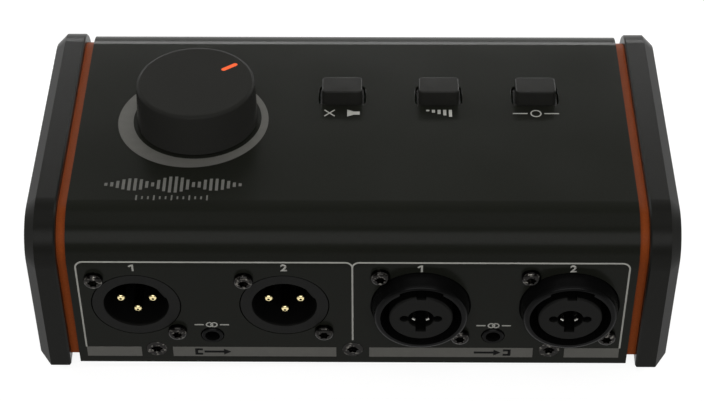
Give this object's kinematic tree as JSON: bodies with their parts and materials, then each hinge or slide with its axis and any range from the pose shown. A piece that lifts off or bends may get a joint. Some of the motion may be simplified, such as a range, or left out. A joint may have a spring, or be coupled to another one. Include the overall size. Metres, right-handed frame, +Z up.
{
  "type": "studio monitor controller",
  "caption": "Desktop studio monitor controller: folded wedge housing between side cheeks, volume knob and push buttons on the sloping top, balanced, combination and mini sockets at the rear.",
  "frame": {"origin": "middle of the underside of the bounding box, on the surface that the feet stand on", "axes": "+Z up; -Y towards the user; +Y out of the rear panel with the sockets; +X to the user's right"},
  "size_m": [0.1604, 0.092, 0.0597],
  "materials": {
    "housing_black": "fine satin black powder coat",
    "accent_orange": "satin burnt-orange coat",
    "cheek_black": "satin black coat",
    "knob_black": "black anodised, turned",
    "pointer_orange": "bright orange inlay",
    "cap_black": "matt moulded",
    "shell_black": "satin moulded nylon",
    "core_black": "satin moulded nylon",
    "pin_gold": "gold plated",
    "contact_silver": "silver plated",
    "socket_dark": "moulded with a dark metal ring",
    "screw_black": "black oxide",
    "steel_plain": "zinc plated",
    "brass_plain": "turned",
    "board_green": "solder-resist coated glass fibre board",
    "part_black": "moulded",
    "plunger_white": "moulded",
    "ribbon_grey": "flat ribbon insulation",
    "rubber": "matt"
  },
  "bodies": {
    "housing": {"housing_cover": "housing_black", "base_tray": "housing_black", "accent_plate_right": "accent_orange", "accent_plate_left": "accent_orange", "side_cheek_right": "cheek_black", "side_cheek_left": "cheek_black", "potentiometer_case": "steel_plain", "potentiometer_bush": "brass_plain", "bush_washer": "steel_plain", "bush_nut": "steel_plain", "control_board": "board_green", "connector_board": "board_green", "control_board_header": "part_black", "connector_board_header": "part_black", "ribbon_cable": "ribbon_grey", "output_mini_socket": "socket_dark", "input_mini_socket": "socket_dark", "case_screws": "screw_black", "socket_screws": "screw_black", "cheek_screws": "steel_plain", "board_screws": "steel_plain", "board_standoffs": "brass_plain", "rubber_feet": "rubber", "mute_button_switch": "part_black", "dim_button_switch": "part_black", "mono_button_switch": "part_black", "output_left_shell": "shell_black", "output_left_pins": "pin_gold", "input_left_shell": "shell_black", "input_left_core": "core_black", "input_left_contacts": "contact_silver", "output_right_shell": "shell_black", "output_right_pins": "pin_gold", "input_right_shell": "shell_black", "input_right_core": "core_black", "input_right_contacts": "contact_silver"},
    "volume_control": {"volume_knob": "knob_black", "knob_pointer": "pointer_orange", "potentiometer_shaft": "brass_plain"},
    "mute_key": {"mute_button_cap": "cap_black", "mute_button_plunger": "plunger_white"},
    "dim_key": {"dim_button_cap": "cap_black", "dim_button_plunger": "plunger_white"},
    "mono_key": {"mono_button_cap": "cap_black", "mono_button_plunger": "plunger_white"}
  },
  "joints": [
    {"name": "volume_turn", "type": "hinge", "parent": "housing", "child": "volume_control", "pos_m": [0.04, -0.00443, 0.05793], "axis": [0, -0.1219, 0.9925], "range_deg": [-276.7, 23.3]},
    {"name": "mute_press", "type": "slide", "parent": "housing", "child": "mute_key", "axis": [0, 0.1219, -0.9925], "range_m": [0, 0.0025], "stiffness_N_per_m": 600, "springref_m": -0.002},
    {"name": "dim_press", "type": "slide", "parent": "housing", "child": "dim_key", "axis": [0, 0.1219, -0.9925], "range_m": [0, 0.0025], "stiffness_N_per_m": 600, "springref_m": -0.002},
    {"name": "mono_press", "type": "slide", "parent": "housing", "child": "mono_key", "axis": [0, 0.1219, -0.9925], "range_m": [0, 0.0025], "stiffness_N_per_m": 600, "springref_m": -0.002}
  ]
}
